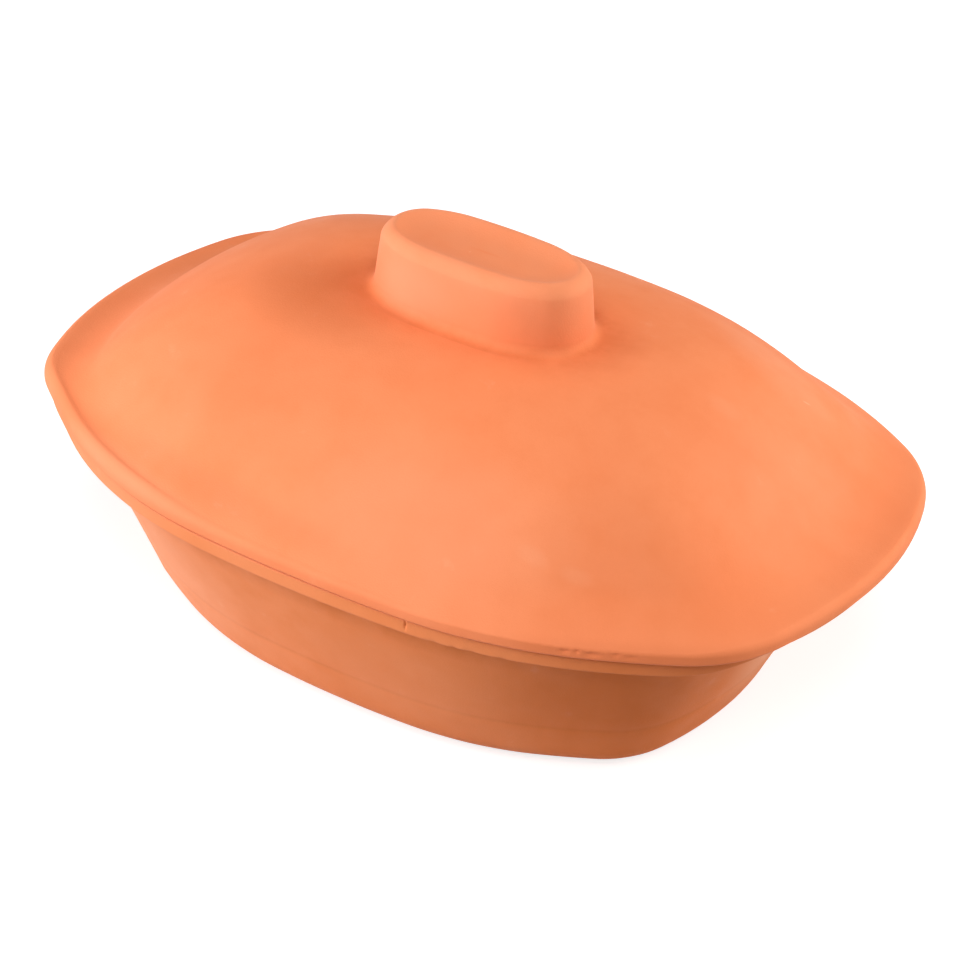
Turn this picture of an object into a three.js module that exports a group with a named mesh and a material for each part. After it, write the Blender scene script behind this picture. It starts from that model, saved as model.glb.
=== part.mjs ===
// Clay roaster: an unglazed oval roasting dish and the domed lid that stands on its rim.
// Millimetres, +Z up. The origin is on the table under the middle of the dish, with +X along its length.
import * as THREE from "three";

// Whole pot, measured over the rim of the lid, and its wall
const POT_LENGTH = 380;
const POT_WIDTH = 266;
const CLAY = 9;
const SEAT_GAP = 0.3;

// Arcs of the rim between its end and its side: lug corner, flank and shoulder
const RIM_CORNER = 63;
const RIM_FLANK = 426;
const RIM_SHOULDER = 194;
const RIM_ROUND = 1.2;

// Dish: its rim stands in from that of the lid, and overhangs the wall as a lug at each end and a side lip
const DISH_HEIGHT = 84;
const DISH_SETBACK = 2.5;
const DISH_RIM = 7.4;
const DISH_LUG = 21;
const DISH_LIP = 3.5;
const LUG_ROUND = 2.4;
const LUG_FILLET = 4;
const MOUTH_ROUND = 2;

// Dish wall: how far it leans in from rim to foot, and the rounds at the foot outside and at the floor inside
const WALL_LEAN_END = 29.5;
const WALL_LEAN_SIDE = 25;
const FOOT_ROUND = 17;
const FLOOR_ROUND = 24;

// Lid: a low upright face all round its edge. Above it, a bead and a soft brim run along each lug,
// and at the sides the dome comes down to a plain round. The turns are how far the rounds go over.
const LID_RIM = 9;
const LID_FACE = 2.5;
const BEAD_WIDTH = 5.5;
const BEAD_TURN = THREE.MathUtils.degToRad(75);
const LID_LUG = 22.5;
const LID_LIP = 5;
const LIP_ROUND = 4;
const LIP_TURN = THREE.MathUtils.degToRad(45);
const BRIM_RISE = 8.5;
const DOME_RISE = 61.5;

// Locating ridge under the lid, which drops inside the mouth of the dish
const RIDGE_DROP = 4;
const RIDGE_WIDTH = 7;
const RIDGE_CLEARANCE = 1.5;
const RIDGE_ROUND = 1.2;

// Grip moulded on the crown of the dome: flared foot, steep sides, and a sloping border round a dished top
const GRIP_LENGTH = 93;
const GRIP_WIDTH = 46;
const GRIP_RISE = 29;
const GRIP_TAPER = 2;
const GRIP_FLARE = 4;
const GRIP_BORDER = 6;
const GRIP_BORDER_RISE = 4.6;
const GRIP_DISH = 3.2;
const GRIP_DISH_SLOPE = 13;
const GRIP_HOLLOW_ROUND = 4;
const CROWN_MARGIN_END = 14;
const CROWN_MARGIN_SIDE = 1;

// Arcs of the grip between its end and its side
const GRIP_CORNER = 9.7;
const GRIP_FLANK = 14.4;
const GRIP_SHOULDER = 69;

// Every outline is four mirrored quarters of five tangent arcs: end, corner, flank, shoulder and side.
// The limits are the directions that the arcs face, in degrees from the length of the pot.
const ARC_LIMITS = [0, 18.5, 58.5, 63.5, 86, 90].map(THREE.MathUtils.degToRad);
const ARC_STEPS = [3, 4, 1, 3, 2];
const REACH_X = ARC_STEPS.map((_, i) => Math.cos(ARC_LIMITS[i]) - Math.cos(ARC_LIMITS[i + 1]));
const REACH_Y = ARC_STEPS.map((_, i) => Math.sin(ARC_LIMITS[i + 1]) - Math.sin(ARC_LIMITS[i]));

// Directions between which the brim of the lid turns from the lugs to the sides
const BRIM_TURN = [62, 86].map(THREE.MathUtils.degToRad);

// Curve of the dome from its foot (0, 0) to its crown (1, 1), where it ends level.
// The fillet at the foot runs up to a share of the curve. The hollow starts higher.
const DOME_CURVE = new THREE.CubicBezierCurve(
  new THREE.Vector2(0, 0),
  new THREE.Vector2(0.13, 0.4),
  new THREE.Vector2(0.55, 1),
  new THREE.Vector2(1, 1),
);
const FILLET_END = 0.25;
const HOLLOW_START = 0.23;

// Facets along the curves, and the angle of a full round
const DOME_STEPS = 6;
const ROUND_STEPS = 3;
const QUARTER_TURN = Math.PI / 2;

// Radii of the five arcs of an outline. The end and side radii are the two that give its length and width.
function outline(halfLength, halfWidth, arcs) {
  const inner = [0, ...arcs, 0];
  const restX = inner.reduce((rest, radius, i) => rest - radius * REACH_X[i], halfLength);
  const restY = inner.reduce((rest, radius, i) => rest - radius * REACH_Y[i], halfWidth);
  const scale = REACH_X[0] * REACH_Y[4] - REACH_X[4] * REACH_Y[0];
  const end = (restX * REACH_Y[4] - restY * REACH_X[4]) / scale;
  const side = (restY * REACH_X[0] - restX * REACH_Y[0]) / scale;
  return [end, ...arcs, side];
}

// Outline of the pot at a smaller or equal size, with the arcs of the rim in proportion to its length
function potOutline(halfLength, halfWidth) {
  const share = halfLength / (POT_LENGTH / 2);
  return outline(halfLength, halfWidth, [RIM_CORNER, RIM_FLANK, RIM_SHOULDER].map((arc) => arc * share));
}

// Outline of the grip, grown all round by a distance, with its arcs in proportion to its width
function gripOutline(growLength, growWidth = growLength) {
  const halfLength = GRIP_LENGTH / 2 + growLength;
  const halfWidth = GRIP_WIDTH / 2 + growWidth;
  const share = halfWidth / (GRIP_WIDTH / 2);
  return outline(halfLength, halfWidth, [GRIP_CORNER, GRIP_FLANK, GRIP_SHOULDER].map((arc) => arc * share));
}

// Parallel outline, moved inwards by a distance
function inset(radii, distance) {
  return radii.map((radius) => radius - distance);
}

// Outline between two others
function between(first, second, share) {
  return first.map((radius, i) => THREE.MathUtils.lerp(radius, second[i], share));
}

// Layer between two others
function layerBetween(first, second, share) {
  return {
    radii: between(first.radii, second.radii, share),
    z: THREE.MathUtils.lerp(first.z, second.z, share),
  };
}

// Points of a whole outline, counterclockwise from the end on +X, each with its share of the side form
function outlinePoints(radii) {
  const quarter = [];
  let x = radii.reduce((sum, radius, i) => sum + radius * REACH_X[i], 0);
  let y = 0;
  radii.forEach((radius, i) => {
    sweep(ARC_LIMITS[i], ARC_LIMITS[i + 1], ARC_STEPS[i]).slice(1).reduce((from, to) => {
      quarter.push([x, y, THREE.MathUtils.smoothstep(from, ...BRIM_TURN)]);
      x += radius * (Math.cos(to) - Math.cos(from));
      y += radius * (Math.sin(to) - Math.sin(from));
      return to;
    }, ARC_LIMITS[i]);
  });
  const mirrored = quarter.slice(1).reverse().map(([px, py, share]) => [-px, py, share]);
  const half = [...quarter, [0, y, 1], ...mirrored];
  return [...half, ...half.map(([px, py, share]) => [-px, -py, share])];
}

// Points of a layer, which turns from its form at the ends into the one at the sides
function layerPoints({ radii, z, side }) {
  const sides = outlinePoints(side.radii);
  return outlinePoints(radii).map(([x, y, share], i) => [
    THREE.MathUtils.lerp(x, sides[i][0], share),
    THREE.MathUtils.lerp(y, sides[i][1], share),
    THREE.MathUtils.lerp(z, side.z, share),
  ]);
}

// Closed solid through a stack of layers, each an outline at a height, from the middle of the first
// to the middle of the last. Layers climb on outer faces and sink on inner ones.
function loft(layers) {
  const rings = layers.map((layer) => layerPoints({ side: layer, ...layer }));
  const count = rings[0].length;
  const last = layers.length * count + 1;
  const positions = [0, 0, layers[0].z];
  positions.push(...rings.flat(2), 0, 0, layers.at(-1).z);
  const vertex = (i, j) => 1 + i * count + (j % count);
  const faces = [];
  for (let j = 0; j < count; j++) {
    faces.push(0, vertex(0, j + 1), vertex(0, j));
    for (let i = 0; i + 1 < layers.length; i++) {
      faces.push(vertex(i, j), vertex(i, j + 1), vertex(i + 1, j + 1));
      faces.push(vertex(i, j), vertex(i + 1, j + 1), vertex(i + 1, j));
    }
    faces.push(last, vertex(layers.length - 1, j), vertex(layers.length - 1, j + 1));
  }
  const geometry = new THREE.BufferGeometry();
  geometry.setAttribute("position", new THREE.Float32BufferAttribute(positions, 3));
  geometry.setIndex(faces);
  geometry.computeVertexNormals();
  return geometry;
}

// Values in equal steps from one limit to the other, both included
function sweep(from, to, steps) {
  return Array.from({ length: steps + 1 }, (_, i) => THREE.MathUtils.lerp(from, to, i / steps));
}

// Edge of a rim, from its lower face upwards, with a round below and one of its own size and turn above
function rimEdge(radii, low, lowerRound, high, { width, height, turn }) {
  const lower = sweep(0, QUARTER_TURN, ROUND_STEPS - 1).map((angle) => ({
    radii: inset(radii, lowerRound * (1 - Math.sin(angle))),
    z: low + lowerRound * (1 - Math.cos(angle)),
  }));
  const upper = sweep(0, turn, ROUND_STEPS - 1).map((angle) => ({
    radii: inset(radii, width * (1 - Math.cos(angle))),
    z: high - height * (1 - Math.sin(angle)),
  }));
  return [...lower, ...upper];
}

// Rounded turn from a level floor into a leaning wall, which ends on the wall
function floorTurn(wall, floor, round) {
  return sweep(0, wallSlope, ROUND_STEPS).map((turn) => ({
    radii: inset(wall, round * (Math.sin(wallSlope) - Math.sin(turn))),
    z: floor + round * (1 - Math.cos(turn)),
  }));
}

// Curve that rounds off a corner between two layers, both included
function rounded(from, corner, to) {
  return sweep(0, 1, ROUND_STEPS).map((share) =>
    layerBetween(layerBetween(from, corner, share), layerBetween(corner, to, share), share),
  );
}

// Rims and wall, shared by dish and lid
const lidRim = potOutline(POT_LENGTH / 2, POT_WIDTH / 2);
const dishRim = inset(lidRim, DISH_SETBACK);
const wallHalfLength = POT_LENGTH / 2 - DISH_SETBACK - DISH_LUG;
const wallHalfWidth = POT_WIDTH / 2 - DISH_SETBACK - DISH_LIP;
const wallTop = potOutline(wallHalfLength, wallHalfWidth);
const wallFoot = potOutline(wallHalfLength - WALL_LEAN_END, wallHalfWidth - WALL_LEAN_SIDE);
const wallSlope = Math.atan2(DISH_HEIGHT, (WALL_LEAN_END + WALL_LEAN_SIDE) / 2);
const mouth = inset(wallTop, CLAY);

function dishLayers() {
  const rimLow = DISH_HEIGHT - DISH_RIM;
  const footTurn = floorTurn(wallFoot, 0, FOOT_ROUND);
  const wallStart = footTurn.at(-1);
  const wallEnd = { radii: wallTop, z: rimLow };
  const wallAt = (z) => layerBetween(wallStart, wallEnd, (z - wallStart.z) / (rimLow - wallStart.z));
  const floorTop = CLAY + FLOOR_ROUND * (1 - Math.cos(wallSlope));
  const upperEdge = { width: RIM_ROUND, height: RIM_ROUND, turn: QUARTER_TURN };
  const edge = rimEdge(dishRim, rimLow, LUG_ROUND, DISH_HEIGHT, upperEdge);
  return [
    ...footTurn,
    ...rounded(wallAt(rimLow - LUG_FILLET), wallEnd, edge[0]).slice(0, -1),
    ...edge,
    { radii: inset(mouth, -MOUTH_ROUND), z: DISH_HEIGHT },
    { radii: mouth, z: DISH_HEIGHT - MOUTH_ROUND },
    ...floorTurn(inset(wallAt(floorTop).radii, CLAY), CLAY, FLOOR_ROUND).reverse(),
  ];
}

const seat = DISH_HEIGHT + SEAT_GAP;
const crownHeight = seat + DOME_RISE;
const domeFoot = potOutline(POT_LENGTH / 2 - LID_LUG, POT_WIDTH / 2 - LID_LIP);
const gripFoot = GRIP_TAPER + GRIP_FLARE;
const crown = gripOutline(gripFoot + CROWN_MARGIN_END, gripFoot + CROWN_MARGIN_SIDE);

// One layer of the dome at a share of its curve, moved in square to the surface by a depth
function domeLayer(share, depth) {
  const rise = DOME_RISE - BRIM_RISE;
  const run = (POT_LENGTH - GRIP_LENGTH) / 2 - LID_LUG - gripFoot - CROWN_MARGIN_END;
  const at = DOME_CURVE.getPoint(share);
  const slope = DOME_CURVE.getTangent(share).multiply(new THREE.Vector2(run, rise)).normalize();
  return {
    radii: inset(between(domeFoot, crown, at.x), depth * slope.y),
    z: seat + BRIM_RISE + rise * at.y - depth * slope.x,
  };
}

// Outer face of the grip, from its flared foot on the crown to the middle of its dished top
function gripLayers() {
  const top = crownHeight + GRIP_RISE;
  const foot = { radii: gripOutline(gripFoot), z: crownHeight };
  const corner = { radii: gripOutline(GRIP_TAPER), z: crownHeight };
  const side = { radii: gripOutline(GRIP_TAPER), z: crownHeight + GRIP_FLARE };
  const crease = { radii: gripOutline(0), z: top - GRIP_BORDER_RISE };
  const brow = { radii: gripOutline(-GRIP_BORDER / 2), z: top };
  const crest = { radii: gripOutline(-GRIP_BORDER), z: top };
  const dish = sweep(0, 1, ROUND_STEPS).slice(1).map((share) => ({
    radii: gripOutline(-GRIP_BORDER - GRIP_DISH_SLOPE * share),
    z: top - GRIP_DISH * share * (2 - share),
  }));
  return [...rounded(foot, corner, side), ...rounded(crease, brow, crest), ...dish];
}

// Hollow of the lid, from the middle of the ceiling under the grip down to the locating ridge
function hollowLayers() {
  const ceiling = crownHeight + GRIP_RISE - GRIP_DISH - CLAY;
  const ridgeOuter = inset(mouth, RIDGE_CLEARANCE);
  const ridgeInner = inset(ridgeOuter, RIDGE_WIDTH);
  const ridgeLow = seat - RIDGE_DROP;
  return [
    { radii: gripOutline(-CLAY - GRIP_HOLLOW_ROUND), z: ceiling },
    { radii: gripOutline(-CLAY), z: ceiling - GRIP_HOLLOW_ROUND },
    { radii: gripOutline(GRIP_TAPER - CLAY), z: crownHeight - CLAY + GRIP_FLARE },
    ...sweep(1, HOLLOW_START, DOME_STEPS).map((share) => domeLayer(share, CLAY)),
    { radii: ridgeInner, z: ridgeLow + RIDGE_ROUND },
    { radii: inset(ridgeInner, -RIDGE_ROUND), z: ridgeLow },
    { radii: inset(ridgeOuter, RIDGE_ROUND), z: ridgeLow },
    { radii: ridgeOuter, z: ridgeLow + RIDGE_ROUND },
    { radii: ridgeOuter, z: seat },
  ];
}

// Outer face of the lid from its seat to the dome: a bead and a brim along the lugs, and at the sides
// a round that turns as far as the slope of the dome
function brimLayers() {
  const dome = domeLayer(FILLET_END, 0);
  const beadRound = { width: BEAD_WIDTH, height: LID_RIM - LID_FACE, turn: BEAD_TURN };
  const bead = rimEdge(lidRim, seat, RIM_ROUND, seat + LID_RIM, beadRound);
  const lugs = [...bead, ...rounded(bead.at(-1), domeLayer(0, 0), dome).slice(1)];
  const lipRound = { width: LIP_ROUND, height: LIP_ROUND, turn: LIP_TURN };
  const lip = rimEdge(lidRim, seat, RIM_ROUND, seat + LID_FACE + LIP_ROUND, lipRound);
  const slope = layerBetween(lip.at(-1), dome, 0.5);
  const sides = [...lip, ...rounded(lip.at(-1), slope, dome).slice(1)];
  return lugs.map((layer, i) => ({ ...layer, side: sides[i] }));
}

function lidLayers() {
  return [
    ...hollowLayers(),
    ...brimLayers(),
    ...sweep(FILLET_END, 1, DOME_STEPS).slice(1).map((share) => domeLayer(share, 0)),
    ...gripLayers(),
  ];
}

const clay = { color: 0xd9814f, roughness: 0.85, metalness: 0 };

function clayPiece(name, layers) {
  const mesh = new THREE.Mesh(loft(layers), new THREE.MeshStandardMaterial(clay));
  mesh.name = name;
  return mesh;
}

const roaster = new THREE.Group();
roaster.add(clayPiece("roasting_dish", dishLayers()));
roaster.add(clayPiece("domed_lid", lidLayers()));

export default roaster;
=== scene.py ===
"""Clay roaster: an unglazed oval dish and its domed lid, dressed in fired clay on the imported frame."""

import logging
import math
from dataclasses import astuple, dataclass, replace
from enum import Enum
from typing import ClassVar

import bpy
import numpy as np
from mathutils import Matrix, Vector, noise


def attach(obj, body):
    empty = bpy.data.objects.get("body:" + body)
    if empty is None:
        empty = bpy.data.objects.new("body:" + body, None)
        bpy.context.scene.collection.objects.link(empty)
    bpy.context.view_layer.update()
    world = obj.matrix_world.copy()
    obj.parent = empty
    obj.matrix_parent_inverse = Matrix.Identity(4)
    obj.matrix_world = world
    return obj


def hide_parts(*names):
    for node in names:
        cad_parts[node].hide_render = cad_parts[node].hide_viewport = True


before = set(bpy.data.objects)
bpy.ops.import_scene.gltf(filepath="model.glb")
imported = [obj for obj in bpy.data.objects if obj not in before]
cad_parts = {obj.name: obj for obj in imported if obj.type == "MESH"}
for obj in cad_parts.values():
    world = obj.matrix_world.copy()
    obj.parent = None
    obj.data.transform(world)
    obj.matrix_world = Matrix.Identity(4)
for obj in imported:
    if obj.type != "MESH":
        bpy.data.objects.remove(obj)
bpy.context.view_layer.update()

LOG = logging.getLogger("clay_roaster")

MM = 0.001

# Directions, in radians from the length of the pot, between which the five arcs of a quarter outline face.
FACING = np.radians([0.0, 18.5, 58.5, 63.5, 86.0, 90.0])
REACH_X = np.cos(FACING[:-1]) - np.cos(FACING[1:])
REACH_Y = np.sin(FACING[1:]) - np.sin(FACING[:-1])

# How far the bead of the lid has died away into the dome, after the direction in degrees that the rim faces.
# It was rubbed down more on the right half than on the left, so it stays longest along the near left.
BEAD_FADE = (
    (0.0, 0.3),
    (35.0, 0.45),
    (62.0, 0.8),
    (86.0, 1.0),
    (98.0, 0.9),
    (112.0, 0.25),
    (130.0, 0.0),
    (256.0, 0.0),
    (268.0, 0.4),
    (280.0, 1.0),
    (292.0, 1.0),
    (325.0, 0.5),
    (360.0, 0.3),
)

# Half width of the window that takes the kinks out of that fading, and width of the bell in it, in degrees.
FADE_WINDOW = 12.0
FADE_BELL = 5.0
CIRCLE = 360.0

# Steps of the round under a rim, of its upright face and of the round over it.
UNDER_STEPS = 5
FACE_STEPS = 5
OVER_STEPS = 8

# Wear of the lower edge of a rim, as a share of that of the upper one.
EDGE_WEAR = 0.3

Colour = tuple[float, float, float]
Point = tuple[float, float, float]

WHITE: Colour = (1.0, 1.0, 1.0)


class Piece(Enum):
    """The two pieces of the roaster, by the CAD node that each stands for."""

    DISH = "roasting_dish"
    LID = "domed_lid"


class Body(Enum):
    """Bodies of the frame that the pieces ride on."""

    DISH = "dish"
    LID = "lid"


class Slot(Enum):
    """Material slots of the record."""

    DISH = "dish_clay"
    LID = "lid_clay"


class Tone(Enum):
    """Colours of a clay finish that a mark can take."""

    PALE = "pale"
    DEEP = "deep"


@dataclass(frozen=True)
class Outline:
    """Closed oval of four mirrored quarters, each of five tangent arcs.

    Attributes:
        radii: Radii of the arcs from the end of the oval to its side, in mm.
    """

    radii: tuple[float, ...]

    @classmethod
    def sized(cls, half_length: float, half_width: float, arcs: tuple[float, float, float]) -> "Outline":
        """Make the oval of a given size.

        Args:
            half_length: Half of its length, in mm.
            half_width: Half of its width, in mm.
            arcs: Radii of the corner, the flank and the shoulder, in mm.

        Returns:
            The oval whose end and side arcs give that size.
        """
        inner = np.array([0.0, *arcs, 0.0])
        rest = [half_length - inner @ REACH_X, half_width - inner @ REACH_Y]
        end, side = np.linalg.solve([REACH_X[[0, -1]], REACH_Y[[0, -1]]], rest)
        return cls((float(end), *arcs, float(side)))

    def inset(self, distance: float) -> "Outline":
        """Return the parallel oval, moved inwards by a distance in mm."""
        return Outline(tuple(radius - distance for radius in self.radii))

    def scaled(self, share: float) -> "Outline":
        """Return the oval at a share of its size."""
        return Outline(tuple(radius * share for radius in self.radii))

    def mixed(self, other: "Outline", share: float) -> "Outline":
        """Return the oval at a share of the way to another."""
        return Outline(tuple(a + (b - a) * share for a, b in zip(self.radii, other.radii)))

    def points(self, facing: np.ndarray) -> np.ndarray:
        """Find the points of the oval that face given directions.

        Args:
            facing: Directions in radians, from 0 up to a full turn.

        Returns:
            One row of x and y for each direction, in mm.
        """
        radii = np.array(self.radii)
        folded = np.arccos(np.clip(np.abs(np.cos(facing)), 0.0, 1.0))
        arc = np.clip(np.searchsorted(FACING, folded, side="right") - 1, 0, len(radii) - 1)
        start_x = radii @ REACH_X - np.concatenate([[0.0], np.cumsum(radii * REACH_X)])
        start_y = np.concatenate([[0.0], np.cumsum(radii * REACH_Y)])
        x = start_x[arc] + radii[arc] * (np.cos(folded) - np.cos(FACING[arc]))
        y = start_y[arc] + radii[arc] * (np.sin(folded) - np.sin(FACING[arc]))
        return np.stack([x * np.sign(np.cos(facing)), y * np.sign(np.sin(facing))], axis=1)


def fade_of_bead(facing: np.ndarray) -> np.ndarray:
    """Find how far the bead of the lid has died away.

    Args:
        facing: Directions that the rim faces, in radians.

    Returns:
        Shares from 0, the full bead, to 1, the plain round, without kinks in between.
    """
    at, share = np.array(BEAD_FADE).T
    fine = np.arange(0.0, CIRCLE)
    spread = np.arange(-FADE_WINDOW, FADE_WINDOW + 1.0)
    bell = np.exp(-((spread / FADE_BELL) ** 2))
    plain = np.interp((fine[:, None] + spread) % CIRCLE, at, share)
    smooth = plain @ bell / bell.sum()
    return np.interp(np.degrees(facing) % CIRCLE, np.append(fine, CIRCLE), np.append(smooth, smooth[0]))


@dataclass(frozen=True)
class Layer:
    """One outline at a height, as a stage of a lofted piece.

    Attributes:
        outline: The oval.
        z: Its height, in mm.
        wear: How far the clay is rubbed pale here, from 0 to 1.
        painted_shade: How far painted shade darkens the clay here, from 0 to 1.
        trim: How far the uneven trimming of the rim reaches here, from 0 to 1.
        still: How far the surface is held to its plain form, from 0 to 1.
        side: Form of the layer along the sides of the pot, where it differs from that at the ends.
    """

    outline: Outline
    z: float
    wear: float = 0.0
    painted_shade: float = 0.0
    trim: float = 0.0
    still: float = 0.0
    side: "Layer | None" = None

    def mixed(self, other: "Layer", share: float) -> "Layer":
        """Find a layer between this one and another.

        Args:
            other: The other layer.
            share: Share of the way to it.

        Returns:
            The layer there, without a form of its own along the sides.
        """
        values = {
            name: getattr(self, name) + (getattr(other, name) - getattr(self, name)) * share
            for name in ("z", "wear", "painted_shade", "trim", "still")
        }
        return Layer(self.outline.mixed(other.outline, share), **values)

    def ring(self, facing: np.ndarray) -> np.ndarray:
        """Find the points of the layer that face given directions.

        Args:
            facing: Directions in radians, from 0 up to a full turn.

        Returns:
            One row of x, y and z for each direction, in mm.
        """
        ends = np.column_stack([self.outline.points(facing), np.full(len(facing), self.z)])
        if self.side is None:
            return ends
        share = fade_of_bead(facing)[:, None]
        return ends * (1.0 - share) + self.side.ring(facing) * share


def held(outline: Outline, z: float) -> Layer:
    """Return a layer that is held to its plain form, at a height in mm."""
    return Layer(outline, z, still=1.0)


def steps(count: int, start: float = 0.0, end: float = 1.0) -> list[float]:
    """List equal steps between two values, both included.

    Args:
        count: Number of steps.
        start: First value.
        end: Last value.

    Returns:
        One value more than there are steps.
    """
    return [start + (end - start) * i / count for i in range(count + 1)]


def curve(first: Layer, corner: Layer, last: Layer, count: int) -> list[Layer]:
    """Round off a corner between two layers.

    Args:
        first: Layer where the curve leaves.
        corner: Layer at the corner that is rounded off.
        last: Layer where the curve arrives.
        count: Number of steps.

    Returns:
        The layers along the curve, both ends included.
    """
    return [first.mixed(corner, t).mixed(corner.mixed(last, t), t) for t in steps(count)]


def straight(first: Layer, last: Layer, count: int) -> list[Layer]:
    """Return the layers between two others in equal steps, without these two."""
    return [first.mixed(last, t) for t in steps(count)[1:-1]]


def cap(edge: Layer, count: int, smallest: float) -> list[Layer]:
    """Close a level face from its edge towards its middle.

    Args:
        edge: Layer at the edge of the face.
        count: Number of rings.
        smallest: Size of the last ring, as a share of the edge.

    Returns:
        Rings from beside the edge to the last one round the middle.
    """
    return [replace(edge, outline=edge.outline.scaled(share)) for share in steps(count, 1.0, smallest)[1:]]


@dataclass(frozen=True)
class RimTrim:
    """Uneven trimming of a rim by hand, as one soft bay or swell in its outline.

    Attributes:
        facing: Direction that the middle of the bay faces, in degrees.
        depth: How far the rim is cut back there, in mm; below 0 it stands out.
        spread: Half width of the bay along the rim, in mm.
    """

    facing: float
    depth: float
    spread: float

    def inset(self, along: np.ndarray) -> np.ndarray:
        """Return how far the rim is cut back at distances from its middle along the rim, both in mm."""
        return self.depth * np.exp(-((along / self.spread) ** 2))


@dataclass(frozen=True)
class Dent:
    """Small hollow or chip in a rim, from the mould or from use.

    Attributes:
        facing: Direction that the rim faces there, in degrees.
        z: Height of its middle, in mm.
        reach: Half sizes along the rim and upwards, in mm.
        depth: Depth, in mm.
    """

    facing: float
    z: float
    reach: tuple[float, float]
    depth: float

    def sink(self, along: np.ndarray, z: np.ndarray) -> np.ndarray:
        """Return how deep the dent is.

        Args:
            along: Distances from its middle along the rim, in mm.
            z: Heights, in mm.

        Returns:
            Depths, in mm.
        """
        return self.depth * np.exp(-((along / self.reach[0]) ** 2) - ((z - self.z) / self.reach[1]) ** 2)


@dataclass(frozen=True)
class Loft:
    """Closed mesh through a stack of layers.

    Attributes:
        layers: Stages from the middle of the first face to the middle of the last.
        trims: Uneven places of the rim.
        dents: Small hollows in the surface.
        wobble: Depth of the slow unevenness of the pressed clay, in mm.
        ripple: Depth of its quicker unevenness, in mm.
        seed: Where in the noise the unevenness is taken from, in mm.
    """

    layers: list[Layer]
    trims: tuple[RimTrim, ...] = ()
    dents: tuple[Dent, ...] = ()
    wobble: float = 0.5
    ripple: float = 0.12
    seed: float = 0.0

    # Samples of each arc of a quarter, samples across a dent and how far they reach in half sizes of it.
    ARC_STEPS: ClassVar[tuple[int, ...]] = (9, 16, 5, 14, 6)
    DENT_SAMPLES: ClassVar[int] = 11
    DENT_SPAN: ClassVar[float] = 2.0
    # Radius in mm of the rim where the dents are, and the closest that two samples come, in radians.
    RIM_RADIUS: ClassVar[float] = 194.0
    CLOSEST: ClassVar[float] = 0.0008
    # Lengths of the slow and the quick unevenness in mm, and where in the noise the seed leads.
    WOBBLE_LENGTH: ClassVar[float] = 75.0
    RIPPLE_LENGTH: ClassVar[float] = 17.0
    SEED_HEADING: ClassVar[Point] = (1.0, -1.0, 0.5)

    def facing(self) -> np.ndarray:
        """Choose the directions at which each outline is sampled.

        Returns:
            Rising directions in radians, closer together near the dents.
        """
        quarter = np.concatenate(
            [np.linspace(a, b, n, endpoint=False) for a, b, n in zip(FACING[:-1], FACING[1:], self.ARC_STEPS)]
        )
        ring = [quarter, math.pi - quarter, math.pi + quarter, 2 * math.pi - quarter]
        for dent in self.dents:
            span = np.linspace(-self.DENT_SPAN, self.DENT_SPAN, self.DENT_SAMPLES)
            ring.append(math.radians(dent.facing) + span * dent.reach[0] / self.RIM_RADIUS)
        facing = np.sort(np.concatenate(ring) % (2 * math.pi))
        return facing[np.diff(facing, prepend=-1.0) > self.CLOSEST]

    def away(self, facing: float) -> np.ndarray:
        """Measure along the rim.

        Args:
            facing: Direction that a place of the rim faces, in degrees.

        Returns:
            How far along the rim each sampled direction lies from that place, in mm.
        """
        sampled = self.facing()
        rim = max(self.layers, key=lambda layer: layer.trim * layer.outline.radii[-1])
        ring = rim.outline.points(sampled)
        along = np.append(0.0, np.cumsum(np.linalg.norm(np.roll(ring, -1, axis=0) - ring, axis=1)))
        place = np.interp(math.radians(facing) % (2 * math.pi), np.append(sampled, 2 * math.pi), along)
        half = along[-1] / 2
        return (along[:-1] - place + half) % along[-1] - half

    def points(self) -> np.ndarray:
        """Lay the points of the rings, with the rim trimmed.

        Returns:
            Rows of x, y and z in mm, layer by layer.
        """
        facing = self.facing()
        normal = np.stack([np.cos(facing), np.sin(facing)], axis=1)
        cut = sum((trim.inset(self.away(trim.facing)) for trim in self.trims), np.zeros(len(facing)))
        rings = []
        for layer in self.layers:
            ring = layer.ring(facing)
            ring[:, :2] -= normal * (cut * layer.trim)[:, None]
            rings.append(ring)
        return np.array(rings)

    def dented(self, rings: np.ndarray) -> np.ndarray:
        """Find how deep the dents of the rim are.

        Args:
            rings: Points of the rings, layer by layer, in mm.

        Returns:
            The depth at each point, in mm.
        """
        rim = np.array([layer.trim for layer in self.layers])[:, None]
        dents = (dent.sink(self.away(dent.facing), rings[:, :, 2]) for dent in self.dents)
        return rim * sum(dents, np.zeros(rings.shape[:2]))

    def unevenness(self, points: np.ndarray) -> np.ndarray:
        """Find how uneven the pressed clay is.

        Args:
            points: Points of the piece, in mm.

        Returns:
            How far the clay lies below its plain form at each point, in mm.
        """
        shift = Vector(self.SEED_HEADING) * self.seed
        low = np.empty(len(points))
        for i, point in enumerate(points):
            spot = Vector(point) + shift
            slow = (1.0 + noise.noise(spot / self.WOBBLE_LENGTH)) / 2
            quick = (1.0 + noise.noise(spot / self.RIPPLE_LENGTH)) / 2
            low[i] = self.wobble * slow + self.ripple * quick
        return low

    @staticmethod
    def faces(rows: int, count: int) -> list[list[int]]:
        """List the faces of the closed mesh.

        Args:
            rows: Number of rings.
            count: Number of points in each ring.

        Returns:
            Quads between the rings, and triangles to the middles of the first and the last face, whose
            points follow those of the rings.
        """
        column = np.arange(count)
        beside = (column + 1) % count
        faces = []
        for row in range(rows - 1):
            low, high = row * count, (row + 1) * count
            faces += np.stack([low + column, low + beside, high + beside, high + column], axis=1).tolist()
        top, first, last = (rows - 1) * count, rows * count, rows * count + 1
        faces += [[first, b, a] for a, b in zip(column.tolist(), beside.tolist())]
        faces += [[last, top + a, top + b] for a, b in zip(column.tolist(), beside.tolist())]
        return faces

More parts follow.
